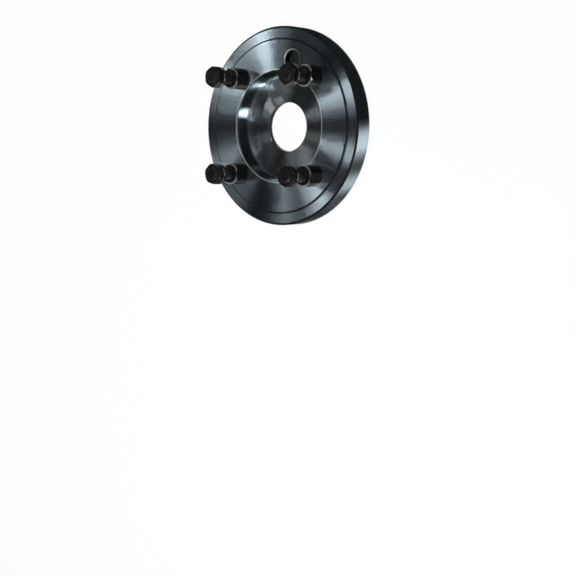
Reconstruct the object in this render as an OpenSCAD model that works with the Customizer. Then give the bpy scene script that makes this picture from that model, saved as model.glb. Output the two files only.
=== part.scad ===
// Centering flange for a bayonet spindle mounting, lying on its flat back face.
// The flange axis is +Z and points out of the short taper toward the studs.
// Millimetres. The origin is the centre of the back face.

/* [Flange body] */
// Outer diameter of the flange
flange_d = 250; // [236:1:320]
// Thickness from the back face to the contact face
flange_t = 26; // [24:0.5:36]
// Chamfer on the front outer edge
front_edge_chamfer = 1.5; // [0.5:0.1:3]
// Chamfer on the back outer edge
back_edge_chamfer = 1; // [0.5:0.1:3]

/* [Contact face] */
// Diameter of the raised contact face
contact_d = 220; // [206:1:232]
// Height of the contact face above the outer land
contact_step = 1.8; // [0.5:0.1:3]
// Chamfer on the edge of the contact face
contact_chamfer = 0.5; // [0.2:0.1:1]

/* [Short taper recess] */
// Gauge diameter of the taper, at the contact face
taper_d = 139.719; // [130:0.001:141]
// Half of the taper's included angle, in degrees
taper_half_angle = 7.125; // [5:0.125:9]
// Depth from the contact face to the recess floor
recess_depth = 19; // [15:0.5:21]
// Width of the relief groove at the foot of the taper
relief_w = 3; // [2:0.25:4]
// Depth of the relief groove beyond the small end of the taper
relief_cut = 0.85; // [0.5:0.05:1.5]
// Chamfer at the mouth of the taper
taper_mouth_chamfer = 0.8; // [0.3:0.1:1]

/* [Through bore] */
// Diameter of the through bore
bore_d = 62; // [40:0.5:100]
// Chamfer where the bore opens into the recess
bore_front_chamfer = 0.5; // [0.2:0.1:1]
// Chamfer where the bore opens at the back face
bore_back_chamfer = 1; // [0.3:0.1:1.5]

/* [Stud pattern] */
// Diameter of the circle through the studs
bolt_circle_d = 171.4; // [170:0.1:176]
// Angle of the first stud from +X, in degrees
first_stud_angle = 45; // [35:1:50]

/* [Tapped holes] */
// Nominal diameter of the stud thread
thread_d = 16; // [12:0.5:18]
// Radial clearance between the tapped hole and the stud
tap_clearance = 0.05; // [0.02:0.01:0.1]
// Radial step of the relief at the front of each tapped hole
tap_relief_step = 1.6; // [0.5:0.1:2.5]
// Depth of that relief
tap_relief_depth = 3; // [1:0.5:5]
// Countersink of each tapped hole at the back face
tap_countersink = 0.8; // [0.3:0.1:1.5]

/* [Studs] */
// Depth of the stud's tapping end below the contact face
tapping_len = 16; // [12:0.5:20]
// Diameter of the stud collar
collar_d = 27; // [24:0.1:28]
// Length of the stud collar
collar_len = 24; // [18:0.1:30]
// Chamfer on the front edge of the collar
collar_chamfer = 1.5; // [0.5:0.1:2]
// Chamfer on the edge of the collar that seats on the flange
collar_seat_chamfer = 0.4; // [0.2:0.1:0.8]
// Width across the two wrench flats of the collar
collar_flats = 24; // [20:0.1:26]
// Length of the wrench flats, from the front of the collar
flats_len = 21.5; // [8:0.5:23]
// Depth of the thread undercut on each side of the collar
neck_cut = 1.3; // [0.8:0.1:2]
// Length of that undercut
neck_len = 3; // [2:0.1:4]
// Chamfer on both ends of the stud
stud_end_chamfer = 1.3; // [0.5:0.1:2]
// Length of the stud that stands out of its nut
stud_overhang = 1.2; // [0:0.1:4]

/* [Collar nuts] */
// Gap between the stud collar and the nut as stored
nut_gap = 19.5; // [8:0.1:28]
// Overall length of the nut
nut_len = 13.5; // [11:0.1:18]
// Width across the nut's flats
nut_flats = 24; // [22:0.1:25]
// Diameter that the nut's corners and collar are turned to
nut_collar_d = 26.4; // [24:0.1:28]
// Thickness of the nut's collar
nut_collar_t = 4; // [2:0.1:5]
// Chamfer on both edges of the nut's collar
nut_collar_chamfer = 0.5; // [0.2:0.1:1]
// Angle of the chamfer on the outer end of the hexagon, in degrees
nut_end_angle = 30; // [15:1:40]
// Radial clearance between the nut and the stud thread
nut_clearance = 0.05; // [0.02:0.01:0.1]
// Countersink at both mouths of the nut's thread
nut_countersink = 0.9; // [0.4:0.1:1.5]

/* [Driver hole] */
// Diameter of the hole for the driving button
driver_d = 24.2; // [16:0.1:25]
// Depth of the hole, which has a flat floor
driver_depth = 10; // [6:0.5:16]
// Angle from the first stud to the hole, in degrees
driver_from_stud = 30; // [28:1:58]
// Chamfer at the mouth of the hole
driver_chamfer = 0.8; // [0.3:0.1:1]

/* [Hidden] */
$fn = 96;

// How far each stud and each nut is turned about its own axis, in degrees
stud_turn = [5, -5, -4, -12];
nut_turn = [-10, 0, 15, -3];
stud_pitch_angle = 360 / len(stud_turn);

// Derived heights, above the back face
contact_z = flange_t;
land_z = contact_z - contact_step;
taper_foot_z = contact_z - recess_depth + relief_w;
floor_z = contact_z - recess_depth;
nut_seat_z = contact_z + collar_len + nut_gap;

// Derived radii
flange_r = flange_d / 2;
contact_r = contact_d / 2;
bore_r = bore_d / 2;
bolt_circle_r = bolt_circle_d / 2;
thread_r = thread_d / 2;
tap_r = thread_r + tap_clearance;
collar_r = collar_d / 2;
neck_r = thread_r - neck_cut;
nut_r = nut_collar_d / 2;
nut_bore_r = thread_r + nut_clearance;
driver_r = driver_d / 2;
relief_r = taper_r(recess_depth - relief_w) + relief_cut;

steel_blue = [0.36, 0.41, 0.44];
black_oxide = [0.09, 0.09, 0.10];
cut_past = 1; // how far a cutting shape runs past the face it opens

// Radius of the taper wall at a depth below the contact face
function taper_r(depth) = taper_d / 2 - depth * tan(taper_half_angle);

// Places children at stud i's seat on the contact face, turned about the stud's axis
module at_stud(i, turn, z = contact_z) {
    rotate([0, 0, first_stud_angle + i * stud_pitch_angle])
        translate([bolt_circle_r, 0, z])
            rotate([0, 0, turn - first_stud_angle - i * stud_pitch_angle])
                children();
}

// The turned section of the flange, revolved: rim, step, taper, relief, floor and bore
module turned_disc() {
    rotate_extrude($fn = 240)
        polygon([
            [bore_r + bore_back_chamfer, 0],
            [flange_r - back_edge_chamfer, 0],
            [flange_r, back_edge_chamfer],
            [flange_r, land_z - front_edge_chamfer],
            [flange_r - front_edge_chamfer, land_z],
            [contact_r, land_z],
            [contact_r, contact_z - contact_chamfer],
            [contact_r - contact_chamfer, contact_z],
            [taper_r(0) + taper_mouth_chamfer, contact_z],
            [taper_r(taper_mouth_chamfer), contact_z - taper_mouth_chamfer],
            [taper_r(recess_depth - relief_w), taper_foot_z],
            [relief_r, taper_foot_z],
            [relief_r, floor_z],
            [bore_r + bore_front_chamfer, floor_z],
            [bore_r, floor_z - bore_front_chamfer],
            [bore_r, bore_back_chamfer]
        ]);
}

// The cutting shape of one tapped hole, its top at the contact face
module tapped_hole() {
    rotate_extrude()
        polygon([
            [0, -contact_z - cut_past],
            [tap_r + tap_countersink + cut_past, -contact_z - cut_past],
            [tap_r, tap_countersink - contact_z],
            [tap_r, -tap_relief_depth],
            [thread_r + tap_relief_step, -tap_relief_depth],
            [thread_r + tap_relief_step, cut_past],
            [0, cut_past]
        ]);
}

// The cutting shape of the driver hole, its top at the contact face
module driver_pocket() {
    rotate_extrude()
        polygon([
            [0, -driver_depth],
            [driver_r, -driver_depth],
            [driver_r, -driver_chamfer],
            [driver_r + driver_chamfer + cut_past, cut_past],
            [0, cut_past]
        ]);
}

// One turned, drilled and tapped disc
module flange_body() {
    color(steel_blue)
        difference() {
            turned_disc();
            for (i = [0 : len(stud_turn) - 1])
                at_stud(i, 0) tapped_hole();
            rotate([0, 0, first_stud_angle + driver_from_stud])
                translate([bolt_circle_r, 0, contact_z])
                    driver_pocket();
        }
}

// The turned form of a stud, its collar seated at height 0
module turned_stud() {
    stud_end = collar_len + nut_gap + nut_len + stud_overhang;
    rotate_extrude()
        polygon([
            [0, -tapping_len],
            [thread_r - stud_end_chamfer, -tapping_len],
            [thread_r, stud_end_chamfer - tapping_len],
            [thread_r, -neck_len - neck_cut],
            [neck_r, -neck_len],
            [neck_r, 0],
            [collar_r - collar_seat_chamfer, 0],
            [collar_r, collar_seat_chamfer],
            [collar_r, collar_len - collar_chamfer],
            [collar_r - collar_chamfer, collar_len],
            [neck_r, collar_len],
            [neck_r, collar_len + neck_len],
            [thread_r, collar_len + neck_len + neck_cut],
            [thread_r, stud_end - stud_end_chamfer],
            [thread_r - stud_end_chamfer, stud_end],
            [0, stud_end]
        ]);
}

// One collar stud: the turned form with two wrench flats milled on its collar
module stud(i) {
    color(black_oxide)
        at_stud(i, stud_turn[i])
            difference() {
                turned_stud();
                for (side = [0, 180])
                    rotate([0, 0, side])
                        translate([collar_flats / 2, -collar_d / 2, collar_len - flats_len])
                            cube([collar_d, collar_d, flats_len + cut_past]);
            }
}

// The hexagon of a nut, its corners turned off and its outer end chamfered
module nut_hexagon() {
    end_r = nut_flats / 2 - nut_collar_chamfer;
    intersection() {
        rotate([0, 0, 30])
            cylinder(d = nut_flats / cos(30), h = nut_len, $fn = 6);
        rotate_extrude()
            polygon([
                [0, 0],
                [nut_r, 0],
                [nut_r, nut_len - (nut_r - end_r) * tan(nut_end_angle)],
                [end_r, nut_len],
                [0, nut_len]
            ]);
    }
}

// The round collar of a nut, its bearing face at height 0
module nut_collar() {
    rotate_extrude()
        polygon([
            [0, 0],
            [nut_r - nut_collar_chamfer, 0],
            [nut_r, nut_collar_chamfer],
            [nut_r, nut_collar_t - nut_collar_chamfer],
            [nut_r - nut_collar_chamfer, nut_collar_t],
            [0, nut_collar_t]
        ]);
}

// The cutting shape of a nut's thread, countersunk at both mouths
module nut_bore() {
    mouth_r = nut_bore_r + nut_countersink + cut_past;
    rotate_extrude()
        polygon([
            [0, -cut_past],
            [mouth_r, -cut_past],
            [nut_bore_r, nut_countersink],
            [nut_bore_r, nut_len - nut_countersink],
            [mouth_r, nut_len + cut_past],
            [0, nut_len + cut_past]
        ]);
}

// One collar nut, hexagon and collar in one piece
module collar_nut(i) {
    color(black_oxide)
        at_stud(i, nut_turn[i], nut_seat_z)
            difference() {
                union() {
                    nut_collar();
                    nut_hexagon();
                }
                nut_bore();
            }
}

flange_body();
stud(0);  // stud_1
stud(1);  // stud_2
stud(2);  // stud_3
stud(3);  // stud_4
collar_nut(0);  // collar_nut_1
collar_nut(1);  // collar_nut_2
collar_nut(2);  // collar_nut_3
collar_nut(3);  // collar_nut_4
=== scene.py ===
"""Centering flange with a short taper recess and four collar studs, dressed for the studio.

The pieces' classes hold their sizes in millimetres: the flange's heights are above its back face,
and a stud's or nut's are above its own seat. Meshes are made in metres, and the studio's walls,
lamps and camera are placed in metres.
"""

import logging
import math
from collections.abc import Callable, Sequence
from dataclasses import dataclass, field
from enum import Enum
from typing import Any

import bmesh
import bpy
from mathutils import Matrix, Vector


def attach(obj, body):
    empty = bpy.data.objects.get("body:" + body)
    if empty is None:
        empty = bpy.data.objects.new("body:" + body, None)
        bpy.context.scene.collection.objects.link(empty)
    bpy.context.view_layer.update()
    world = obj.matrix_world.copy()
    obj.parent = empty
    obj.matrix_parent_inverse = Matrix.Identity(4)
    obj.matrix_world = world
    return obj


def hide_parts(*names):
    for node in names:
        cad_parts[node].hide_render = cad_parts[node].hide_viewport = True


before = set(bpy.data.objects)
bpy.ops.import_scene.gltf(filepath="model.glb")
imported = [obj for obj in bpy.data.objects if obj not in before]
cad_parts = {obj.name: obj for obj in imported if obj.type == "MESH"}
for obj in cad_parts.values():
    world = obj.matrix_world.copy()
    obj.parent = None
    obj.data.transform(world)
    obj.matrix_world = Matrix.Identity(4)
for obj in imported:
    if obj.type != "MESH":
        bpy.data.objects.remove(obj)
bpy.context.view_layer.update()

MM = 0.001
NOISE_RANGE = (0.3, 0.7)  # most of a noise texture's values
NOISE_MIDDLE = 0.5
EDGE_SHARE = 0.45  # the most of a side that a rounded corner takes
ARC_SHARE = 0.29  # how far in the middle of a rounded corner lies
SAME_COLUMN = 0.12  # columns closer than this, in degrees, are one
SPARE_TURNS = 4  # turns of a thread past its ends, which fall together there
CHAMFER_SLOPES = (0.25, 0.97)  # the height of the normal on a stud's or nut's chamfer
CHAMFER_MARGIN = 0.1  # how far inside its edge a chamfer is looked for
FLAT_WEIGHT = 60  # how much a large face counts where normals are averaged
TINY = 1e-6  # keeps a divisor from being nought
Colour = tuple[float, float, float]
Row = tuple[float, float]  # a radius and a height
log = logging.getLogger("centering_flange")


class Slot(Enum):
    """The names of the finishes: turned steel and black oxide steel."""

    TURNED_STEEL = "turned_steel"
    BLACK_OXIDE_STEEL = "black_oxide_steel"


class Surface(Enum):
    """The kinds of surface on the flange, in the order of its finishes."""

    FACE = 0
    RIM = 1
    TAPER = 2
    EDGE = 3
    HOLE = 4
    RECESS = 5
    # painted shade: near-black lines along the contact step, the front chamfers and a band of the
    # land by the rim
    STEP = 6
    BORE = 7
    # partly wear, partly painted highlight: a bright strip beside the taper's mouth and round the
    # holes' mouths
    LIP = 8


# Shader expressions


class Channel:
    """One value in a shader expression; each operator adds a Math node."""

    def __init__(self, bench: "NodeBench", socket: bpy.types.NodeSocket) -> None:
        """Keep the bench that adds the nodes and the socket that carries the value."""
        self.bench = bench
        self.socket = socket

    def math(self, operation: str, *others: "Channel | float", clamp: bool = False) -> "Channel":
        """Run a Math operation with this value first.

        Args:
            operation: The Math node's operation.
            others: The second and third values.
            clamp: Whether the result is held between 0 and 1.

        Returns:
            The result of the operation.
        """
        settings = {"operation": operation, "use_clamp": clamp}
        return self.bench.get("ShaderNodeMath", settings, dict(enumerate((self, *others))))

    def _swapped(self, operation: str, first: float) -> "Channel":
        """Run an operation with this value second."""
        settings = {"operation": operation}
        return self.bench.get("ShaderNodeMath", settings, {0: first, 1: self})

    def __add__(self, other: "Channel | float") -> "Channel":
        """Add a value."""
        return self.math("ADD", other)

    def __radd__(self, other: float) -> "Channel":
        """Add this value to a number."""
        return self._swapped("ADD", other)

    def __sub__(self, other: "Channel | float") -> "Channel":
        """Subtract a value."""
        return self.math("SUBTRACT", other)

    def __rsub__(self, other: float) -> "Channel":
        """Subtract this value from a number."""
        return self._swapped("SUBTRACT", other)

    def __mul__(self, other: "Channel | float") -> "Channel":
        """Multiply by a value."""
        return self.math("MULTIPLY", other)

    def __rmul__(self, other: float) -> "Channel":
        """Multiply a number by this value."""
        return self._swapped("MULTIPLY", other)

    def __truediv__(self, other: "Channel | float") -> "Channel":
        """Divide by a value."""
        return self.math("DIVIDE", other)

    def __rtruediv__(self, other: float) -> "Channel":
        """Divide a number by this value."""
        return self._swapped("DIVIDE", other)

    def between(self, low: float, high: float) -> "Channel":
        """Stretch the range from low to high over 0 to 1, and clamp it."""
        return ((self - low) / (high - low)).math("ADD", 0.0, clamp=True)


class NodeBench:
    """Builds the nodes of one material or of the world."""

    def __init__(self, owner: bpy.types.Material | bpy.types.World) -> None:
        """Keep the owner, and empty its node tree.

        Args:
            owner: The material or the world.
        """
        self.owner = owner
        owner.use_nodes = True
        self.tree = owner.node_tree
        self.tree.nodes.clear()

    def add(
        self,
        kind: str,
        settings: dict[str, Any] | None = None,
        sockets: dict[str | int, Any] | None = None,
    ) -> bpy.types.Node:
        """Add one node.

        Args:
            kind: The node's type.
            settings: Its properties, such as a Math node's operation.
            sockets: Values or links of its inputs, by name or place.

        Returns:
            The new node.
        """
        node = self.tree.nodes.new(kind)
        for name, value in (settings or {}).items():
            setattr(node, name, value)
        for key, value in (sockets or {}).items():
            if isinstance(value, Channel):
                value = value.socket
            if isinstance(value, bpy.types.NodeSocket):
                self.tree.links.new(value, node.inputs[key])
            else:
                node.inputs[key].default_value = value
        return node

    def get(
        self,
        kind: str,
        settings: dict[str, Any] | None = None,
        sockets: dict[str | int, Any] | None = None,
        output: str | int = 0,
    ) -> Channel:
        """Add one node and take one of its outputs."""
        return Channel(self, self.add(kind, settings, sockets).outputs[output])

    def split(self, vector: Channel) -> tuple[Channel, Channel, Channel]:
        """Take a vector apart into its three values."""
        node = self.add("ShaderNodeSeparateXYZ", None, {0: vector})
        return tuple(Channel(self, out) for out in node.outputs)

    def join(self, x: Channel | float, y: Channel | float, z: Channel | float) -> Channel:
        """Put three values together into a vector."""
        return self.get("ShaderNodeCombineXYZ", None, {0: x, 1: y, 2: z})

    def place(self) -> Channel:
        """Give the point on the object, in metres."""
        return self.get("ShaderNodeTexCoord", None, None, "Object")

    def lathe_place(self) -> Channel:
        """Give (radius, height, 0) in millimetres, the same all round the object's axis."""
        x, y, z = self.split(self.place())
        return self.join((x * x + y * y).math("SQRT") / MM, z / MM, 0.0)

    def noise(self, vector: Channel, scale: float, detail: float = 2.0) -> Channel:
        """Read a noise texture of about 0 to 1 at a vector."""
        sockets = {"Vector": vector, "Scale": scale, "Detail": detail}
        return self.get("ShaderNodeTexNoise", {"noise_dimensions": "3D"}, sockets)

    def blend(self, low: Colour, high: Colour, share: Channel) -> Channel:
        """Mix two colours by a share from 0 to 1."""
        sockets = {0: share, 6: (*low, 1.0), 7: (*high, 1.0)}
        return self.get("ShaderNodeMix", {"data_type": "RGBA"}, sockets, 2)

    def bump(self, height: Channel, depth: float, strength: float) -> Channel:
        """Raise a surface by a height of 0 to 1 times a depth in millimetres."""
        sockets = {"Strength": strength, "Distance": depth * MM, "Height": height}
        return self.get("ShaderNodeBump", None, sockets)

    def finish(self, shader: bpy.types.Node) -> bpy.types.Material:
        """Link a shader to the material's output, and give the material."""
        self.add("ShaderNodeOutputMaterial", None, {"Surface": shader.outputs[0]})
        return self.owner

    def surface(self, sockets: dict[str, Any]) -> bpy.types.Material:
        """Finish the material with one main shader of these values and links."""
        return self.finish(self.add("ShaderNodeBsdfPrincipled", None, sockets))


# Finishes


@dataclass(frozen=True)
class TurnedSteel:
    """Steel turned on a lathe: fine rings that stretch every highlight across them."""

    name: str
    dark_tone: Colour = (0.345, 0.43, 0.475)
    light_tone: Colour = (0.43, 0.515, 0.555)
    roughness: float = 0.2386
    anisotropy: float = 1.0
    stretch_turn: float = 0.25
    ring_depth: float = 0.0035
    ring_strength: float = 0.35
    streak_share: float = 0.02
    fine_scale: float = 2.6
    broad_scale: float = 0.16
    ray_scale: float = 7.0
    ray_drift: float = 0.006
    mottle_scale: float = 60.0
    tone_parts: tuple[float, float, float] = (0.45, 0.35, 0.2)

    def make(self) -> bpy.types.Material:
        """Build the material, with its rings round the object's own axis.

        Returns:
            The material.
        """
        bench = NodeBench(bpy.data.materials.new(self.name))
        place = bench.place()
        x, y, z = bench.split(place)
        radius = (x * x + y * y).math("SQRT")
        across = radius / MM
        ring_place = bench.join(across, z / MM, 0.0)
        fine_rings = bench.noise(ring_place, self.fine_scale)
        broad_rings = bench.noise(ring_place, self.broad_scale, detail=3.0)
        ray_place = bench.join(x / radius, y / radius, across * self.ray_drift)
        rays = bench.noise(ray_place, self.ray_scale, detail=3.0)
        mottle = bench.noise(place, self.mottle_scale, detail=4.0)
        ring_part, ray_part, mottle_part = self.tone_parts
        tones = broad_rings * ring_part + rays * ray_part + mottle * mottle_part
        share = tones.between(*NOISE_RANGE)
        ring_streaks = (fine_rings - NOISE_MIDDLE) * self.streak_share
        ray_streaks = (rays - NOISE_MIDDLE) * self.streak_share
        return bench.surface(
            {
                "Base Color": bench.blend(self.dark_tone, self.light_tone, share),
                "Metallic": 1.0,
                "Roughness": self.roughness + ring_streaks + ray_streaks,
                "Anisotropic": self.anisotropy,
                "Anisotropic Rotation": self.stretch_turn,
                "Normal": bench.bump(fine_rings, self.ring_depth, self.ring_strength),
            }
        )


@dataclass(frozen=True)
class BrokenEdge:
    """A chamfer, a rounded edge or a narrow band beside one, with scratches along it."""

    name: str
    dark_tone: Colour = (0.40, 0.43, 0.44)
    light_tone: Colour = (0.60, 0.62, 0.63)
    roughness: float = 0.2
    metal: float = 1.0
    gloss: float = 0.5
    scratch_scale: float = 5.0
    scratch_depth: float = 0.004
    scratch_strength: float = 0.3
    rub_scale: float = 90.0
    rub_share: float = 0.1

    def make(self) -> bpy.types.Material:
        """Build the material, rubbed unevenly as emery leaves it.

        Returns:
            The material.
        """
        bench = NodeBench(bpy.data.materials.new(self.name))
        scratches = bench.noise(bench.lathe_place(), self.scratch_scale, detail=3.0)
        rubbing = bench.noise(bench.place(), self.rub_scale, detail=3.0)
        share = ((scratches + rubbing) / 2.0).between(*NOISE_RANGE)
        return bench.surface(
            {
                "Base Color": bench.blend(self.dark_tone, self.light_tone, share),
                "Metallic": self.metal,
                "Specular IOR Level": self.gloss,
                "Roughness": self.roughness + (rubbing - NOISE_MIDDLE) * self.rub_share,
                "Normal": bench.bump(scratches, self.scratch_depth, self.scratch_strength),
            }
        )


@dataclass(frozen=True)
class HoleSteelInShade:
    """Steel in a drilled or milled hole, with coarse rings round the hole; its near-black tones
    are painted shade inside the hole.
    """

    name: str
    dark_tone: Colour = (0.02, 0.022, 0.024)
    light_tone: Colour = (0.055, 0.06, 0.064)
    roughness: float = 0.36
    ring_scale: float = 1.9
    ring_depth: float = 0.01
    ring_strength: float = 0.4
    mottle_scale: float = 340.0
    mottle_share: float = 0.12

    def make(self) -> bpy.types.Material:
        """Build the material, with its rings stacked along the hole's depth.

        Returns:
            The material.
        """
        bench = NodeBench(bpy.data.materials.new(self.name))
        place = bench.place()
        _, _, height = bench.split(place)
        rings = bench.noise(bench.join(height / MM, 0.0, 0.0), self.ring_scale)
        mottle = bench.noise(place, self.mottle_scale, detail=3.0)
        share = ((rings + mottle) / 2.0).between(*NOISE_RANGE)
        return bench.surface(
            {
                "Base Color": bench.blend(self.dark_tone, self.light_tone, share),
                "Metallic": 1.0,
                "Roughness": self.roughness + (mottle - NOISE_MIDDLE) * self.mottle_share,
                "Normal": bench.bump(rings, self.ring_depth, self.ring_strength),
            }
        )


@dataclass(frozen=True)
class BlackOxide:
    """Oiled black oxide on steel, rubbed through a little on its edges."""

    name: str
    oxide_tone: Colour = (0.004, 0.0042, 0.0048)
    worn_tone: Colour = (0.30, 0.30, 0.307)
    roughness: float = 0.4
    edge_width: float = 0.4
    edge_samples: int = 4
    edge_range: tuple[float, float] = (0.015, 0.12)
    rubbed_share: float = 0.0
    grain_scale: float = 520.0
    grain_range: tuple[float, float] = (0.36, 0.62)
    grain_share: float = 0.14
    ring_scale: float = 2.4
    ring_depth: float = 0.006
    ring_strength: float = 0.3
    metal: float = 0.03
    worn_metal: float = 0.9
    gloss: float = 0.12
    oil: float = 0.04
    oil_rubbed_off: float = 0.03
    oil_roughness: float = 0.22

    def make(self) -> bpy.types.Material:
        """Build the material, with its wear found from rounded edges.

        Returns:
            The material.
        """
        bench = NodeBench(bpy.data.materials.new(self.name))
        rings = bench.noise(bench.lathe_place(), self.ring_scale)
        grain = bench.noise(bench.place(), self.grain_scale, detail=3.0)
        rounded = bench.get(
            "ShaderNodeBevel", {"samples": self.edge_samples}, {"Radius": self.edge_width * MM}
        )
        true_normal = bench.get("ShaderNodeNewGeometry", None, None, "Normal")
        agreement = bench.get(
            "ShaderNodeVectorMath", {"operation": "DOT_PRODUCT"}, {0: rounded, 1: true_normal}, 1
        )
        edges = (1.0 - agreement).between(*self.edge_range) + self.rubbed_share
        wear = edges.between(0.0, 1.0) * grain.between(*self.grain_range)
        return bench.surface(
            {
                "Base Color": bench.blend(self.oxide_tone, self.worn_tone, wear),
                "Metallic": self.metal + wear * self.worn_metal,
                "Roughness": self.roughness + (grain - NOISE_MIDDLE) * self.grain_share,
                "Specular IOR Level": self.gloss,
                "Coat Weight": self.oil - wear * self.oil_rubbed_off,
                "Coat Roughness": self.oil_roughness,
                "Normal": bench.bump(rings, self.ring_depth, self.ring_strength),
            }
        )


@dataclass(frozen=True)
class PaleFloor:
    """White studio paper that keeps a soft shadow and fills the picture with white."""

    name: str
    tone: Colour = (0.86, 0.86, 0.86)
    white_share: float = 0.88
    roughness: float = 0.9
    fibre_scale: float = 900.0
    fibre_depth: float = 0.1
    fibre_strength: float = 0.05

    def make(self) -> bpy.types.Material:
        """Build the material, white to the camera and in reflections.

        Returns:
            The material.
        """
        bench = NodeBench(bpy.data.materials.new(self.name))
        fibres = bench.noise(bench.place(), self.fibre_scale)
        paper = bench.add(
            "ShaderNodeBsdfPrincipled",
            None,
            {
                "Base Color": (*self.tone, 1.0),
                "Roughness": self.roughness,
                "Normal": bench.bump(fibres, self.fibre_depth, self.fibre_strength),
            },
        )
        white = {"Color": (1.0, 1.0, 1.0, 1.0), "Strength": 1.0}
        glow = bench.add("ShaderNodeEmission", None, white)
        light = bench.add("ShaderNodeLightPath")
        kinds = ("Is Camera Ray", "Is Glossy Ray", "Is Transmission Ray")
        camera, glossy, through = (Channel(bench, light.outputs[kind]) for kind in kinds)
        seen = (camera + glossy + through).between(0.0, 1.0)
        sockets = {0: seen * self.white_share, 1: paper.outputs[0], 2: glow.outputs[0]}
        return bench.finish(bench.add("ShaderNodeMixShader", None, sockets))


@dataclass(frozen=True)
class GlowingReflectionPaper:
    """Paper that glows from black to bright, as its points say: it is no lamp, and it paints
    reflections.
    """

    name: str
    attribute: str = "glow"

    def make(self) -> bpy.types.Material:
        """Build the material.

        Returns:
            The material.
        """
        bench = NodeBench(bpy.data.materials.new(self.name))
        glow = bench.get("ShaderNodeAttribute", {"attribute_name": self.attribute}, None, "Color")
        return bench.finish(bench.add("ShaderNodeEmission", None, {"Color": glow}))


# Round forms


def broken_edges(rows: Sequence[Row], size: float, closed: bool) -> list[Row]:
    """Round every corner of a profile by a little, as a deburred edge is.

    Args:
        rows: The profile's (radius, height) corners.
        size: How far along each side the rounding starts.
        closed: Whether the last corner joins the first.

    Returns:
        The profile with three points for each corner.
    """
    made: list[Row] = []
    count = len(rows)
    for i, corner in enumerate(rows):
        if not closed and i in (0, count - 1):
            made.append(corner)
            continue
        here = Vector(corner)
        before, after = Vector(rows[i - 1]) - here, Vector(rows[(i + 1) % count]) - here
        step_in = before.normalized() * min(size, before.length * EDGE_SHARE)
        step_out = after.normalized() * min(size, after.length * EDGE_SHARE)
        made.append(tuple(here + step_in))
        made.append(tuple(here + (step_in + step_out) * ARC_SHARE))
        made.append(tuple(here + step_out))
    return made


def even_angles(count: int, extra: Sequence[float] = ()) -> list[float]:
    """Spread columns round a circle, and add some at given angles.

    Args:
        count: How many columns are spread evenly.
        extra: The angles of the added columns, which take the place of near ones.

    Returns:
        The angles in degrees, in order.
    """
    angles = {round(360.0 * i / count, 4) for i in range(count)}
    for angle in extra:
        near = {a for a in angles if abs((a - angle + 180.0) % 360.0 - 180.0) < SAME_COLUMN}
        angles = (angles - near) | {round(angle % 360.0, 4)}
    return sorted(angles)


@dataclass
class Thread:
    """A metric thread that runs out at forty-five degrees at both its ends."""

    major_r: float
    pitch: float
    low_z: float
    high_z: float
    end_r: float
    depth_share: float = 0.6134
    root_flat: float = 0.25
    crest_flat: float = 0.125

    def turn_rows(self) -> list[Row]:
        """Work out one turn's profile.

        Returns:
            The profile's corners as (share of the pitch, radius).
        """
        root = self.major_r - self.depth_share * self.pitch
        middle = (root + self.major_r) / 2.0
        flank = (1.0 - self.root_flat - self.crest_flat) / 2.0
        crest = self.root_flat + flank
        return [
            (0.0, root),
            (self.root_flat, root),
            (self.root_flat + flank / 2.0, middle),
            (crest, self.major_r),
            (crest + self.crest_flat, self.major_r),
            (crest + self.crest_flat + flank / 2.0, middle),
        ]

    def limited(self, radius: float, height: float) -> float:
        """Hold a radius to the run-out at the thread's ends."""
        from_end = min(height - self.low_z, self.high_z - height)
        return min(radius, self.end_r + max(from_end, 0.0))


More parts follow.
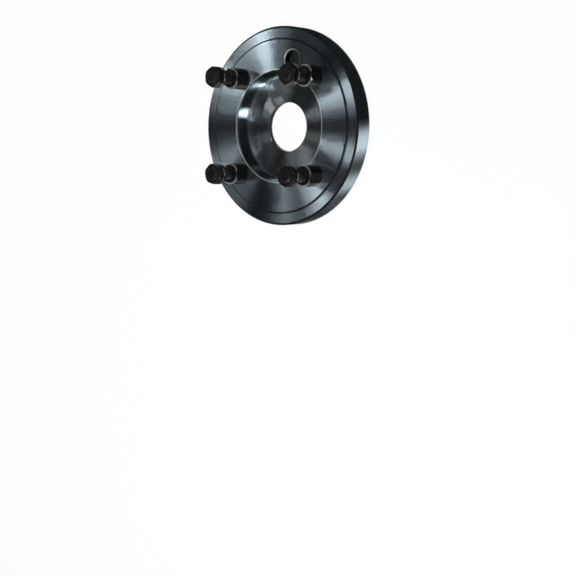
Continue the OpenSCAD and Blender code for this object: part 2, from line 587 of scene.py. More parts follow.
class RoundForm:
    """A closed mesh round an axis, made of columns that share their corners."""

    def __init__(self, angles: Sequence[float]) -> None:
        """Start an empty form.

        Args:
            angles: Where its columns stand, in degrees.
        """
        self.angles = list(angles)
        self.corners: list[Vector] = []
        self.faces: list[list[int]] = []
        self._known: dict[tuple[int, float, float], int] = {}

    def corner(self, column: int, radius: float, height: float) -> int:
        """Find or add a corner.

        Args:
            column: The number of its column.
            radius: Its distance from the axis.
            height: Its height.

        Returns:
            The corner's number.
        """
        column %= len(self.angles)
        key = (column, round(radius, 4), round(height, 4))
        if key not in self._known:
            turn = math.radians(self.angles[column])
            self._known[key] = len(self.corners)
            self.corners.append(
                Vector((radius * math.cos(turn), radius * math.sin(turn), height)) * MM
            )
        return self._known[key]

    def face(self, *corners: int) -> None:
        """Add a face, without the corners that fall together.

        Args:
            corners: The numbers of its corners, in order.
        """
        kept = [c for i, c in enumerate(corners) if c != corners[i - 1]]
        if len(set(kept)) >= 3:
            self.faces.append(list(dict.fromkeys(kept)))

    def skin(self, rows_at: Callable[[float], Sequence[Row]], closed: bool) -> None:
        """Lay a skin over rows that may change from column to column.

        Args:
            rows_at: Gives the (radius, height) rows at an angle in degrees.
            closed: Whether the last row joins the first.
        """
        grid = [
            [self.corner(i, *row) for row in rows_at(angle)]
            for i, angle in enumerate(self.angles)
        ]
        for i, column in enumerate(grid):
            following = grid[(i + 1) % len(grid)]
            for j in range(len(column) if closed else len(column) - 1):
                k = (j + 1) % len(column)
                self.face(column[j], following[j], following[k], column[k])

    def cap(self, radius: float, height: float) -> None:
        """Close the form with a flat face."""
        self.face(*(self.corner(i, radius, height) for i in range(len(self.angles))))

    def wind(self, thread: Thread) -> None:
        """Wind a thread round the axis, held between its two end heights.

        Args:
            thread: The thread's sizes.
        """
        turn = thread.turn_rows()
        turns = math.ceil((thread.high_z - thread.low_z) / thread.pitch) + SPARE_TURNS
        count = len(self.angles)

        def at(column: int, row: int) -> int:
            """Find a corner of a row that climbs one pitch in each turn.

            Args:
                column: The number of its column.
                row: The number of its row.

            Returns:
                The corner's number.
            """
            if column == count:
                column, row = 0, row + len(turn)
            share, radius = turn[row % len(turn)]
            lead = self.angles[column] / 360.0 + row // len(turn) - 1
            height = thread.low_z + thread.pitch * (share + lead)
            height = min(max(height, thread.low_z), thread.high_z)
            return self.corner(column, thread.limited(radius, height), height)

        for column in range(count):
            for row in range(turns * len(turn) - 1):
                lower = (at(column, row), at(column + 1, row))
                upper = (at(column + 1, row + 1), at(column, row + 1))
                self.face(*lower, *upper)

    def mesh(self, name: str) -> bpy.types.Mesh:
        """Make the mesh, its faces all turned outward.

        Args:
            name: The mesh's name.

        Returns:
            The mesh.
        """
        mesh = bpy.data.meshes.new(name)
        mesh.from_pydata(self.corners, [], self.faces)
        work = bmesh.new()
        work.from_mesh(mesh)
        loose = [v for v in work.verts if not v.link_faces]
        bmesh.ops.delete(work, geom=loose, context="VERTS")
        bmesh.ops.recalc_face_normals(work, faces=work.faces)
        work.to_mesh(mesh)
        work.free()
        mesh.update()
        return mesh


def show(name: str, mesh: bpy.types.Mesh) -> bpy.types.Object:
    """Put a mesh into the scene.

    Args:
        name: The object's name.
        mesh: Its mesh.

    Returns:
        The object.
    """
    piece = bpy.data.objects.new(name, mesh)
    bpy.context.scene.collection.objects.link(piece)
    return piece


def stand(piece: bpy.types.Object, centre: Vector, seat_z: float, turn: float) -> None:
    """Stand a piece on an axis at a height, turned by some degrees."""
    piece.location = (centre + Vector((0.0, 0.0, seat_z))) * MM
    piece.rotation_euler.z = math.radians(turn)


def cut_away(piece: bpy.types.Object, cutters: Sequence[bpy.types.Object]) -> None:
    """Cut solids out of a piece, and delete them.

    Args:
        piece: The object that is cut.
        cutters: The solids to cut out of it.
    """
    for cutter in cutters:
        cut = piece.modifiers.new("cut", "BOOLEAN")
        cut.operation, cut.solver, cut.object = "DIFFERENCE", "EXACT", cutter
    bpy.context.view_layer.update()
    graph = bpy.context.evaluated_depsgraph_get()
    made = bpy.data.meshes.new_from_object(piece.evaluated_get(graph))
    made.name = piece.data.name
    piece.modifiers.clear()
    piece.data = made
    for cutter in cutters:
        bpy.data.objects.remove(cutter)


def smooth_to_edges(piece: bpy.types.Object, sharp_angle: float) -> None:
    """Shade a piece smooth up to its sharp edges, with its flat faces kept flat.

    Args:
        piece: The object.
        sharp_angle: The angle in degrees from which an edge is sharp.
    """
    piece.data.shade_smooth()
    piece.data.set_sharp_from_angle(angle=math.radians(sharp_angle))
    weighted = piece.modifiers.new("flat faces first", "WEIGHTED_NORMAL")
    weighted.keep_sharp = True
    weighted.weight = FLAT_WEIGHT


def rub_chamfers(
    piece: bpy.types.Object, finishes: Sequence[bpy.types.Material], from_r: float
) -> None:
    """Give a piece its oxide, and its rubbed finish on the outer chamfers.

    Args:
        piece: The stud or nut, standing on its own axis.
        finishes: The plain finish and the rubbed one.
        from_r: The radius at which its chamfers start.
    """
    for finish in finishes:
        piece.data.materials.append(finish)
    low, high = CHAMFER_SLOPES
    for face in piece.data.polygons:
        outside = face.center.xy.length > (from_r - CHAMFER_MARGIN) * MM
        face.material_index = int(outside and low < abs(face.normal.z) < high)


# The flange body


@dataclass
class StudPattern:
    """Where the studs stand on the contact face, and how each stud and nut is turned."""

    circle_r: float = 85.7
    first_angle: float = 45.0
    driver_from_first: float = 30.0
    stud_turns: tuple[float, ...] = (5.0, -5.0, -4.0, -12.0)
    nut_turns: tuple[float, ...] = (-10.0, 0.0, 15.0, -3.0)

    @property
    def numbers(self) -> range:
        """Give the studs' numbers, from 1 up."""
        return range(1, len(self.stud_turns) + 1)

    def centre(self, number: int) -> Vector:
        """Give a stud's axis at the back face, in millimetres."""
        return self.polar(self.first_angle + 360.0 * (number - 1) / len(self.stud_turns))

    def driver(self) -> Vector:
        """Give the axis of the driver hole at the back face, in millimetres."""
        return self.polar(self.first_angle + self.driver_from_first)

    def polar(self, angle: float) -> Vector:
        """Give a point on the stud circle."""
        turn = math.radians(angle)
        return Vector((math.cos(turn), math.sin(turn), 0.0)) * self.circle_r


@dataclass
class FlangeBody:
    """The turned disc with its taper recess, bore, tapped holes and driver hole.

    Its cutting solids reach past the faces that they open. The fields after sharp_angle sort its
    faces by finish: how near a face lies to a level, and its slope, which is the height of its
    normal, 0 on a wall and 1 on a flat face.
    """

    pattern: StudPattern
    outer_r: float = 125.0
    contact_r: float = 110.0
    contact_z: float = 26.0
    land_z: float = 24.2
    front_chamfer: float = 1.5
    back_chamfer: float = 1.0
    contact_edge_reach: float = 1.8
    contact_edge_drop: float = 0.7
    contact_edge_rows: int = 6
    foot_shade: float = 0.5
    foot_ring_gap: float = 0.22
    taper_r: float = 69.8595
    taper_slope: float = math.tan(math.radians(7.125))
    mouth_chamfer: float = 0.8
    lip: float = 0.6
    # the width of the band of painted shade on the land inside the rim's chamfer
    painted_shade_rim: float = 1.2
    foot_z: float = 10.0
    floor_z: float = 7.0
    relief_cut: float = 0.85
    bore_r: float = 31.0
    bore_front_chamfer: float = 0.5
    bore_back_chamfer: float = 1.0
    edge_break: float = 0.3
    tap_r: float = 8.05
    tap_relief_r: float = 9.6
    tap_relief_depth: float = 3.0
    tap_countersink: float = 0.8
    thread_pitch: float = 2.0
    thread_stop_z: float = 9.6
    driver_r: float = 12.1
    driver_depth: float = 10.0
    driver_chamfer: float = 0.8
    driver_corner: float = 0.25
    driver_core_r: float = 0.5
    past: float = 1.0
    columns: int = 288
    tap_columns: int = 64
    driver_columns: int = 96
    sharp_angle: float = 32.0
    front_depth: float = 1.0
    level_gap: float = 0.05
    floor_gap: float = 0.1
    wall_slope: float = 0.2
    hole_wall_slope: float = 0.3
    chamfer_slopes: tuple[float, float] = (0.4, 0.9)
    flat_slope: float = 0.985

    def wall_r(self, height: float) -> float:
        """Give the taper wall's radius at a height."""
        return self.taper_r - (self.contact_z - height) * self.taper_slope

    def contact_edge(self) -> list[Row]:
        """Work out the contact face's rounded edge, from its step up to the face.

        Returns:
            The (radius, height) corners.
        """
        step = 90.0 / self.contact_edge_rows
        turns = [math.radians(step * i) for i in range(self.contact_edge_rows + 1)]
        return [
            (
                self.contact_r - self.contact_edge_reach * (1.0 - math.cos(t)),
                self.contact_z - self.contact_edge_drop * (1.0 - math.sin(t)),
            )
            for t in turns
        ]

    def section(self) -> list[Row]:
        """Work out the turned section, from the back of the bore round the outside.

        Returns:
            The (radius, height) corners.
        """
        relief_r = self.wall_r(self.foot_z) + self.relief_cut
        wall_z = self.contact_z - self.mouth_chamfer
        return [
            (self.bore_r + self.bore_back_chamfer, 0.0),
            (self.outer_r - self.back_chamfer, 0.0),
            (self.outer_r, self.back_chamfer),
            (self.outer_r, self.land_z - self.front_chamfer),
            (self.outer_r - self.front_chamfer, self.land_z),
            # the next two rows bound the bands of painted shade on the land, by the rim and at
            # the foot of the step
            (self.outer_r - self.front_chamfer - self.painted_shade_rim, self.land_z),
            (self.contact_r + self.foot_shade + self.foot_ring_gap, self.land_z),
            (self.contact_r, self.land_z),
            *self.contact_edge(),
            (self.taper_r + self.mouth_chamfer + self.lip, self.contact_z),
            (self.taper_r + self.mouth_chamfer, self.contact_z),
            (self.wall_r(wall_z), wall_z),
            (self.wall_r(self.foot_z), self.foot_z),
            (relief_r, self.foot_z),
            (relief_r, self.floor_z),
            (self.bore_r + self.bore_front_chamfer, self.floor_z),
            (self.bore_r, self.floor_z - self.bore_front_chamfer),
            (self.bore_r, self.bore_back_chamfer),
        ]

    def tapped_hole(self, number: int) -> bpy.types.Object:
        """Make the cutting solid of one tapped hole, threaded behind the stud.

        Args:
            number: The stud's number.

        Returns:
            The cutting solid.
        """
        start_z, stop_z = self.tap_countersink, self.thread_stop_z
        low = [(self.tap_r + start_z + self.past, -self.past), (self.tap_r, start_z)]
        shoulder_z = self.contact_z - self.tap_relief_depth
        high = [
            (self.tap_r, stop_z),
            (self.tap_r, shoulder_z),
            (self.tap_relief_r, shoulder_z),
            (self.tap_relief_r, self.contact_z + self.past),
        ]
        form = RoundForm(even_angles(self.tap_columns))
        form.skin(lambda _: low, closed=False)
        form.wind(Thread(self.tap_r, self.thread_pitch, start_z, stop_z, self.tap_r))
        form.skin(lambda _: high, closed=False)
        form.cap(*low[0])
        form.cap(*high[-1])
        cutter = show(f"tapped_hole_{number}", form.mesh("tapped_hole"))
        cutter.location = self.pattern.centre(number) * MM
        return cutter

    def driver_hole(self) -> bpy.types.Object:
        """Make the cutting solid of the driver hole.

        Returns:
            The cutting solid.
        """
        floor_z = self.contact_z - self.driver_depth
        rows = [
            (self.driver_core_r, floor_z),
            (self.driver_r, floor_z),
            (self.driver_r, self.contact_z - self.driver_chamfer),
            (self.driver_r + self.driver_chamfer + self.past, self.contact_z + self.past),
        ]
        rows = broken_edges(rows, self.driver_corner, closed=False)
        form = RoundForm(even_angles(self.driver_columns))
        form.skin(lambda _: rows, closed=False)
        form.cap(*rows[0])
        form.cap(*rows[-1])
        cutter = show("driver_hole", form.mesh("driver_hole"))
        cutter.location = self.pattern.driver() * MM
        return cutter

    def dress(self, piece: bpy.types.Object) -> None:
        """Give the turned faces, the ground taper, the edges and the holes their finishes:
        painted shade on the step, the front chamfers, the bore and the holes, a painted highlight
        on the lip, and the recess floor painted lighter.

        Args:
            piece: The flange.
        """
        finishes = {
            Surface.FACE: TurnedSteel("turned steel face"),
            Surface.RIM: TurnedSteel("turned steel rim", roughness=0.24),
            Surface.TAPER: TurnedSteel(
                "ground taper wall",
                dark_tone=(0.22, 0.26, 0.28),
                light_tone=(0.27, 0.31, 0.33),
                roughness=0.16,
                anisotropy=0.6,
            ),
            Surface.EDGE: BrokenEdge("broken edge"),
            # near-black hole walls: painted shade inside the tapped holes and the driver hole
            Surface.HOLE: HoleSteelInShade("drilled hole wall in painted shade"),
            # Painted light: a lighter copy of the turned steel, which makes the recess floor's
            # highlights brighter than the face's.
            Surface.RECESS: TurnedSteel(
                "turned recess floor painted lighter",
                dark_tone=(0.55, 0.62, 0.65),
                light_tone=(0.65, 0.72, 0.75),
                roughness=0.1702,
                anisotropy=0.921,
            ),
            # Painted shade: a near-black finish that barely reflects. It stands in for the shadow
            # and dark reflections along the contact step, the rim's and the taper mouth's front
            # chamfers, and a band of the land by the rim.
            Surface.STEP: BrokenEdge(
                "painted shade edge",
                dark_tone=(0.006, 0.0065, 0.007),
                light_tone=(0.012, 0.013, 0.014),
                roughness=0.5,
                metal=0.0,
                gloss=0.05,
            ),
            # Painted shade: a near-black copy of the turned steel, darkened where shade falls
            # inside the bore.
            Surface.BORE: TurnedSteel(
                "turned bore in painted shade", dark_tone=(0.018, 0.021, 0.023), light_tone=(0.032, 0.037, 0.04)
            ),
            # Partly wear, partly painted highlight: a burnished strip, light grey and only partly
            # metallic, so that it shows as a bright line under any light.
            Surface.LIP: BrokenEdge(
                "burnished lip with painted highlight",
                dark_tone=(0.64, 0.67, 0.68),
                light_tone=(0.76, 0.78, 0.79),
                roughness=0.34,
                metal=0.65,
            ),
        }
        for surface in Surface:
            piece.data.materials.append(finishes[surface].make())
        tap_reach = self.tap_relief_r + self.edge_break
        driver_reach = self.driver_r + self.driver_chamfer + self.edge_break
        holes = [(self.pattern.centre(number), tap_reach) for number in self.pattern.numbers]
        holes.append((self.pattern.driver(), driver_reach))
        for face in piece.data.polygons:
            face.material_index = self._surface_of(piece.data, face, holes).value

    def _surface_of(
        self, mesh: bpy.types.Mesh, face: bpy.types.MeshPolygon, holes: list[tuple[Vector, float]]
    ) -> Surface:
        """Tell what kind of surface a face belongs to, by where it lies and how it slopes.

        Args:
            mesh: The flange's mesh.
            face: The face.
            holes: The axis and the reach of each hole.

        Returns:
            The kind of surface.
        """
        corners = [mesh.vertices[v].co / MM for v in face.vertices]
        slope = abs(face.normal.z)
        front_z = self.land_z - self.front_depth
        for centre, reach in holes:
            if all((c.xy - centre.xy).length < reach for c in corners):
                # a hole's wall takes the painted shade of the hole; the faces round its mouth
                # take the lip's painted highlight
                inside = slope < self.hole_wall_slope or min(c.z for c in corners) < front_z
                return Surface.HOLE if inside else Surface.LIP
        middle = face.center / MM
        radius, height = middle.xy.length, middle.z
        rim_r = self.outer_r - self.front_chamfer
        mouth_r = self.taper_r + self.mouth_chamfer
        step_from = self.contact_r - self.contact_edge_reach
        step_to = self.contact_r + self.foot_shade
        low, high = self.chamfer_slopes
        near_mouth = abs(radius - self.taper_r) < self.mouth_chamfer + self.edge_break
        chamfer = height > self.land_z - self.front_chamfer and low < face.normal.z < high
        on_step = step_from < radius < step_to and height > front_z
        on_chamfer = chamfer and (radius > rim_r or near_mouth)
        on_painted_shade_rim = height > self.land_z - self.level_gap and radius > rim_r - self.painted_shade_rim
        # the step, the front chamfers and the band by the rim are painted shade
        if on_step or on_chamfer or on_painted_shade_rim:
            return Surface.STEP
        if radius < self.bore_r + self.bore_front_chamfer and slope < high:
            return Surface.BORE
        # the strip beside the taper's mouth takes the painted highlight
        if height > self.contact_z - self.level_gap and radius < mouth_r + self.lip:
            return Surface.LIP
        if self.wall_slope < slope < self.flat_slope:
            return Surface.EDGE
        if radius > rim_r:
            return Surface.RIM
        if slope < self.wall_slope and self.floor_z < height:
            return Surface.TAPER
        on_floor = abs(height - self.floor_z) < self.floor_gap and radius < self.taper_r
        return Surface.RECESS if on_floor else Surface.FACE

    def build(self) -> bpy.types.Object:
        """Make the body and put it in its node's place.

        Returns:
            The flange.
        """
        rows = broken_edges(self.section(), self.edge_break, closed=True)
        form = RoundForm(even_angles(self.columns))
        form.skin(lambda _: rows, closed=True)
        piece = show("turned_flange", form.mesh("turned_flange"))
        tapped_holes = [self.tapped_hole(number) for number in self.pattern.numbers]
        cut_away(piece, [*tapped_holes, self.driver_hole()])
        self.dress(piece)
        smooth_to_edges(piece, self.sharp_angle)
        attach(piece, "flange")
        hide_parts("flange_body")
        return piece


# The studs


@dataclass
class CollarStud:
    """One stud: tapping end, collar with two wrench flats, and threaded shank."""

    number: int
    turn: float
    pattern: StudPattern
    seat_z: float = 26.0
    thread_r: float = 8.0
    pitch: float = 2.0
    neck_r: float = 6.7
    neck_len: float = 3.0
    tapping_len: float = 16.0
    collar_r: float = 13.5
    collar_len: float = 24.0
    collar_chamfer: float = 1.5
    seat_chamfer: float = 0.4
    flat_half: float = 12.0
    flats_len: float = 21.5
    stud_len: float = 58.2
    chamfer_rows: int = 6
    columns: int = 72
    beside_flat: float = 0.9
    sharp_angle: float = 35.0

    def chamfer_steps(self) -> list[Row]:
        """Work out the front chamfer's rows, from the collar's side to its face.

        Returns:
            The (radius, height) rows.
        """
        shares = [i / self.chamfer_rows for i in range(self.chamfer_rows + 1)]
        return [
            (
                self.collar_r - share * self.collar_chamfer,
                self.collar_len - (1.0 - share) * self.collar_chamfer,
            )
            for share in shares
        ]

    def flat_columns(self) -> list[float]:
        """Find where the flats meet the collar and its chamfer.

        Returns:
            The angles in degrees.
        """
        angles = [
            math.degrees(math.acos(self.flat_half / radius))
            for radius, _ in self.chamfer_steps()[:-1]
        ]
        angles += [angles[0] - self.beside_flat, angles[0] + self.beside_flat]
        return [side + sign * a for side in (0.0, 180.0) for sign in (1, -1) for a in angles]

    def collar_rows(self, angle: float) -> list[Row]:
        """Work out the collar's rows at an angle, held in by the flats.

        Args:
            angle: The angle in degrees.

        Returns:
            The (radius, height) rows.
        """
        across = abs(math.cos(math.radians(angle)))
        flat_r = self.flat_half / max(across, TINY)
        ledge_z = self.collar_len - self.flats_len
        rows = [
            (self.neck_r, 0.0),
            (self.collar_r - self.seat_chamfer, 0.0),
            (self.collar_r, self.seat_chamfer),
            (self.collar_r, ledge_z),
            (min(self.collar_r, flat_r), ledge_z),
        ]
        rows += [(min(radius, flat_r), height) for radius, height in self.chamfer_steps()]
        rows += [(self.neck_r, self.collar_len), (self.neck_r, self.collar_len + self.neck_len)]
        return rows

    def build(self, finishes: Sequence[bpy.types.Material]) -> bpy.types.Object:
        """Make the stud and stand it in its hole.

        Args:
            finishes: The plain finish and the rubbed one.

        Returns:
            The stud.
        """
        form = RoundForm(even_angles(self.columns, self.flat_columns()))
        low, neck_z = -self.tapping_len, self.collar_len + self.neck_len
        form.cap(self.neck_r, low)
        form.wind(Thread(self.thread_r, self.pitch, low, -self.neck_len, self.neck_r))
        form.skin(lambda _: [(self.neck_r, -self.neck_len), (self.neck_r, 0.0)], closed=False)
        form.skin(self.collar_rows, closed=False)
        form.wind(Thread(self.thread_r, self.pitch, neck_z, self.stud_len, self.neck_r))
        form.cap(self.neck_r, self.stud_len)
        piece = show(f"collar_stud_{self.number}", form.mesh("collar_stud"))
        stand(piece, self.pattern.centre(self.number), self.seat_z, self.turn)
        rub_chamfers(piece, finishes, self.collar_r - self.collar_chamfer)
        smooth_to_edges(piece, self.sharp_angle)
        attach(piece, "flange")
        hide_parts(f"stud_{self.number}")
        return piece


# The nuts


@dataclass
class CollarNut:
    """One nut: a hexagon with turned corners that stands on a round collar."""

    number: int
    turn: float
    pattern: StudPattern
    seat_z: float = 69.5
    length: float = 13.5
    flats: int = 6
    flat_half: float = 12.0
    round_r: float = 13.2
    collar_t: float = 4.0
    collar_chamfer: float = 0.5
    end_slope: float = math.tan(math.radians(30.0))
    end_r: float = 11.5
    bore_r: float = 8.05
    countersink: float = 0.9
    edge_break: float = 0.16
    columns: int = 96
    beside_corner: tuple[float, ...] = (-1.6, -0.5, 0.0, 0.5, 1.6)
    sharp_angle: float = 32.0

    def hexagon_r(self, angle: float) -> float:
        """Give the hexagon's radius at an angle, its corners turned off."""
        from_flat = (angle + 180.0 / self.flats) % (360.0 / self.flats) - 180.0 / self.flats
        return min(self.flat_half / math.cos(math.radians(from_flat)), self.round_r)

    def corner_columns(self) -> list[float]:
        """Find where the flats meet the turned corners and the collar's chamfer.

        Returns:
            The angles in degrees.
        """
        edge = math.degrees(math.acos(self.flat_half / self.round_r))
        foot = math.degrees(math.acos(self.flat_half / (self.round_r - self.collar_chamfer)))
        offsets = [*(edge + beside for beside in self.beside_corner), foot]
        middles = [360.0 * flat / self.flats for flat in range(self.flats)]
        return [middle + sign * a for middle in middles for sign in (1, -1) for a in offsets]

    def rows(self, angle: float) -> list[Row]:
        """Work out the nut's closed section, from its seat round the outside.

        Args:
            angle: The angle in degrees.

        Returns:
            The (radius, height) rows.
        """
        side = self.hexagon_r(angle)
        step_in = max(side - (self.round_r - self.collar_chamfer), 0.0)
        inner_collar = max(side, self.round_r - self.collar_chamfer)
        mouth_r = self.bore_r + self.countersink
        rows = [
            (mouth_r, 0.0),
            (self.round_r - self.collar_chamfer, 0.0),
            (self.round_r, self.collar_chamfer),
            (self.round_r, self.collar_t - self.collar_chamfer),
            (inner_collar, self.collar_t - step_in),
            (side, self.collar_t - step_in),
            (side, self.length - (side - self.end_r) * self.end_slope),
            (self.end_r, self.length),
            (mouth_r, self.length),
            (self.bore_r, self.length - self.countersink),
            (self.bore_r, self.countersink),
        ]
        return broken_edges(rows, self.edge_break, closed=True)

    def build(self, finishes: Sequence[bpy.types.Material]) -> bpy.types.Object:
        """Make the nut and put it on its stud.

        Args:
            finishes: The plain finish and the rubbed one.

        Returns:
            The nut.
        """
        form = RoundForm(even_angles(self.columns, self.corner_columns()))
        form.skin(self.rows, closed=True)
        piece = show(f"stud_nut_{self.number}", form.mesh("stud_nut"))
        stand(piece, self.pattern.centre(self.number), self.seat_z, self.turn)
        rub_chamfers(piece, finishes, self.round_r - self.collar_chamfer)
        smooth_to_edges(piece, self.sharp_angle)
        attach(piece, f"nut_{self.number}")
        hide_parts(f"collar_nut_{self.number}")
        return piece


# The studio


@dataclass(frozen=True)
class SoftLamp:
    """A round or flattened studio lamp that points at the flange."""

    name: str
    place: tuple[float, float, float]
    radius: float
    radiance: float
    flatness: float = 1.0
    in_polish: bool = True

    def hang(self) -> bpy.types.Object:
        """Hang the lamp in its place; only the lamp for the paper throws shadows.

        Returns:
            The lamp.
        """
        light = bpy.data.lights.new(self.name, "AREA")
        light.use_shadow = not self.in_polish
        light.shape = "ELLIPSE"
        light.size = self.radius * 2.0
        light.size_y = self.radius * 2.0 * self.flatness
        light.energy = self.radiance * math.pi * math.pi * self.radius**2 * self.flatness
        lamp = bpy.data.objects.new(self.name, light)
        lamp.location = self.place
        lamp.rotation_euler = (-Vector(self.place)).to_track_quat("-Z", "Y").to_euler()
        lamp.visible_camera = False
        lamp.visible_glossy = self.in_polish
        bpy.context.scene.collection.objects.link(lamp)
        return lamp


@dataclass(frozen=True)
class RimReflectionSheet:
    """A glowing sheet on the floor round the rim, which shows only in the rim's polish: a painted
    reflection that gives the rim its bright and dark bands.

    Its stops are turns in degrees round the rim, and how brightly the sheet glows there. Its gap
    from the rim, its reach and its lift off the floor are in millimetres.
    """

    stops: tuple[tuple[float, float], ...]
    gap: float = 0.5
    reach: float = 300.0
    lift: float = 0.4
    step: float = 0.75

    def glow_at(self, turn: float) -> float:
        """Work out how brightly the sheet glows, between its stops.

        Args:
            turn: The turn round the rim, in degrees.

        Returns:
            The brightness, where 1 is white.
        """
        for (start, low), (end, high) in zip(self.stops, self.stops[1:]):
            if start >= turn >= end:
                return low + (high - low) * (turn - start) / (end - start)
        return 0.0

    def lay(self, rim_r: float, sight: Vector) -> bpy.types.Object:
        """Lay the sheet along the lines that the photograph's view mirrors in the rim.

        Args:
            rim_r: The rim's radius in millimetres.
            sight: The direction from the camera to the flange.

        Returns:
            The sheet.
        """
        first, last = self.stops[0][0], self.stops[-1][0]
        steps = round((first - last) / self.step)
        corners: list[Vector] = []
        glows: list[float] = []
        for i in range(steps + 1):
            turn = first + (last - first) * i / steps
            outward = Vector((math.cos(math.radians(turn)), math.sin(math.radians(turn)), 0.0))
            mirrored = sight - outward * 2.0 * sight.dot(outward)
            mirrored.z = 0.0
            inner = outward * (rim_r + self.gap) + Vector((0.0, 0.0, self.lift))
            outer = inner + mirrored.normalized() * self.reach
            corners += [inner * MM, outer * MM]
            glows += [self.glow_at(turn)] * 2
        mesh = bpy.data.meshes.new("rim_reflection_sheet")
        strips = [(2 * i, 2 * i + 1, 2 * i + 3, 2 * i + 2) for i in range(steps)]
        mesh.from_pydata(corners, [], strips)
        paper = GlowingReflectionPaper("painted reflection paper")
        shades = mesh.color_attributes.new(paper.attribute, "FLOAT_COLOR", "POINT")
        for shade, glow in zip(shades.data, glows):
            shade.color = (glow, glow, glow, 1.0)
        mesh.materials.append(paper.make())
        sheet = show("rim_reflection_sheet", mesh)
        sheet.visible_camera = sheet.visible_diffuse = False
        sheet.visible_shadow = sheet.visible_transmission = False
        return sheet


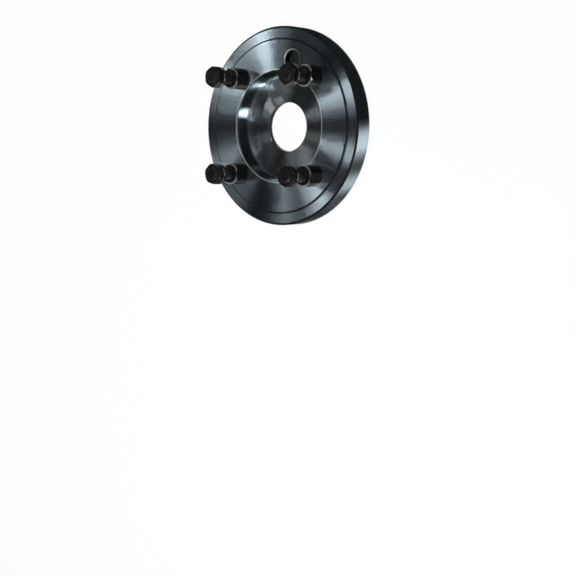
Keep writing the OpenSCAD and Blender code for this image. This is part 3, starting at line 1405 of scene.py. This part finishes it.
@dataclass
class Studio:
    """The floor with its wall, the lamps, the plain room light and the camera.

    The wall round the floor is higher in front, on the camera's side, so that the steel mirrors
    white paper in views from behind. The front reaches that many degrees to either side.
    """

    rim_r: float = 125.0
    wall_r: float = 30.0
    wall_h: float = 4.0
    front_wall_h: float = 8.5
    front_reach: float = 115.0
    floor_columns: int = 96
    floor_core_r: float = 1.0
    room_light: float = 0.004
    room_tone: Colour = (0.95, 1.0, 1.05)
    lens: float = 73.42
    sensor_width: float = 36.0
    clip: tuple[float, float] = (0.05, 200.0)
    camera_place: Vector = field(default_factory=lambda: Vector((0.97449, -0.02627, 1.16545)))
    camera_right: Vector = field(default_factory=lambda: Vector((0.76561, 0.00987, -0.64323)))
    camera_back: Vector = field(default_factory=lambda: Vector((0.63781, 0.11880, 0.76098)))
    lamps: tuple[SoftLamp, ...] = (
        SoftLamp("back lamp 1", (-0.890, -0.266, 1.323), 0.07, 0.7),
        SoftLamp("back lamp 2", (-0.768, -0.443, 1.352), 0.07, 4.4),
        SoftLamp("back lamp 3", (-1.278, -0.339, 0.922), 0.14, 1.1),
        SoftLamp("back lamp 4", (-1.117, 0.355, 1.110), 0.07, 6.1),
        SoftLamp("back lamp 5", (-1.278, 0.256, 0.948), 0.07, 13.3),
        SoftLamp("back lamp 6", (-1.021, 0.629, 1.080), 0.14, 1.35),
        SoftLamp("back lamp 7", (-1.124, 0.592, 0.994), 0.07, 24.4),
        SoftLamp("top lamp 1", (-0.357, -0.190, 1.568), 0.07, 20.4),
        SoftLamp("top lamp 2", (-0.522, 0.228, 1.515), 0.07, 12.5),
        SoftLamp("top lamp 3", (-0.088, 0.196, 1.606), 0.07, 4.9),
        SoftLamp("top lamp 4", (-0.237, 0.411, 1.548), 0.07, 28.2),
        SoftLamp("top lamp 5", (0.362, -0.190, 1.567), 0.07, 13.4),
        SoftLamp("side lamp", (-0.166, -1.045, 1.220), 0.07, 145.0),
        SoftLamp("taper lamp", (1.130, -0.551, 0.84), 0.20, 33.0, flatness=0.35),
        SoftLamp("left fill", (-0.132, 1.509, 0.772), 0.38, 0.35),
        SoftLamp("right fill", (-0.132, -1.509, 0.772), 0.38, 0.35),
        SoftLamp("paper lamp", (0.0, 0.0, 2.4), 0.7, 7.0, in_polish=False),
    )
    # where the rim's painted reflection is bright and where it is black
    rim_reflection_sheet: RimReflectionSheet = RimReflectionSheet(
        (
            (100.0, 0.0),
            (5.0, 0.0),
            (2.0, 0.1),
            (0.0, 0.4),
            (-3.0, 1.05),
            (-6.0, 1.35),
            (-11.0, 1.4),
            (-15.0, 0.45),
            (-19.0, 0.08),
            (-24.0, 0.1),
            (-27.5, 0.5),
            (-31.0, 1.0),
            (-35.5, 1.0),
            (-38.5, 0.4),
            (-42.0, 0.05),
            (-58.0, 0.0),
            (-66.0, 0.1),
            (-74.0, 0.25),
            (-80.0, 0.5),
            (-84.0, 0.25),
            (-92.0, 0.0),
            (-100.0, 0.0),
        )
    )

    def lay_floor(self) -> bpy.types.Object:
        """Lay the white floor, turned up far away so that low views stay white.

        Returns:
            The floor with its wall.
        """
        form = RoundForm(even_angles(self.floor_columns))
        wall_r = self.wall_r / MM

        def rows(angle: float) -> list[Row]:
            """Work out the floor and its wall, which stands higher in front.

            Args:
                angle: The angle in degrees.

            Returns:
                The (radius, height) rows.
            """
            from_front = abs((angle + 180.0) % 360.0 - 180.0)
            height = self.front_wall_h if from_front < self.front_reach else self.wall_h
            return [(self.floor_core_r, 0.0), (wall_r, 0.0), (wall_r, height / MM)]

        form.skin(rows, closed=False)
        form.cap(self.floor_core_r, 0.0)
        floor = show("studio_floor", form.mesh("studio_floor"))
        floor.data.materials.append(PaleFloor("studio paper").make())
        return floor

    def light_room(self) -> None:
        """Give the room its dim, plain light."""
        world = bpy.data.worlds.new("room")
        bench = NodeBench(world)
        sockets = {"Color": (*self.room_tone, 1.0), "Strength": self.room_light}
        sky = bench.add("ShaderNodeBackground", None, sockets)
        bench.add("ShaderNodeOutputWorld", None, {"Surface": sky.outputs[0]})
        bpy.context.scene.world = world

    def set_camera(self) -> bpy.types.Object:
        """Put the camera where the photograph was taken from.

        Returns:
            The camera.
        """
        data = bpy.data.cameras.new("camera")
        data.lens, data.sensor_width = self.lens, self.sensor_width
        data.clip_start, data.clip_end = self.clip
        camera = bpy.data.objects.new("camera", data)
        back = self.camera_back.normalized()
        right = (self.camera_right - back * self.camera_right.dot(back)).normalized()
        turn = Matrix((right, back.cross(right), back)).transposed()
        camera.matrix_world = Matrix.Translation(self.camera_place) @ turn.to_4x4()
        bpy.context.scene.collection.objects.link(camera)
        bpy.context.scene.camera = camera
        return camera

    def build(self) -> None:
        """Set the whole studio up."""
        bpy.context.scene.view_settings.view_transform = "Standard"
        self.lay_floor()
        self.light_room()
        for lamp in self.lamps:
            lamp.hang()
        # the glowing sheet paints the rim's bands as reflections
        self.rim_reflection_sheet.lay(self.rim_r, -self.camera_back)
        self.set_camera()


# The whole


def main() -> None:
    """Build the studio, the flange body, the studs and the nuts, in that order."""
    logging.basicConfig(level=logging.INFO, format="%(message)s")
    Studio().build()
    pattern = StudPattern()
    pieces = [FlangeBody(pattern).build()]
    plain = BlackOxide("black oxide steel")
    rubbed = BlackOxide(
        "rubbed black oxide", worn_tone=(0.60, 0.605, 0.615), roughness=0.24, rubbed_share=0.8
    )
    oxide = (plain.make(), rubbed.make())
    for number, turn in enumerate(pattern.stud_turns, start=1):
        pieces.append(CollarStud(number, turn, pattern).build(oxide))
    for number, turn in enumerate(pattern.nut_turns, start=1):
        pieces.append(CollarNut(number, turn, pattern).build(oxide))
    for piece in pieces:
        log.info("%s: %d faces", piece.name, len(piece.data.polygons))


if __name__ == "__main__":
    main()
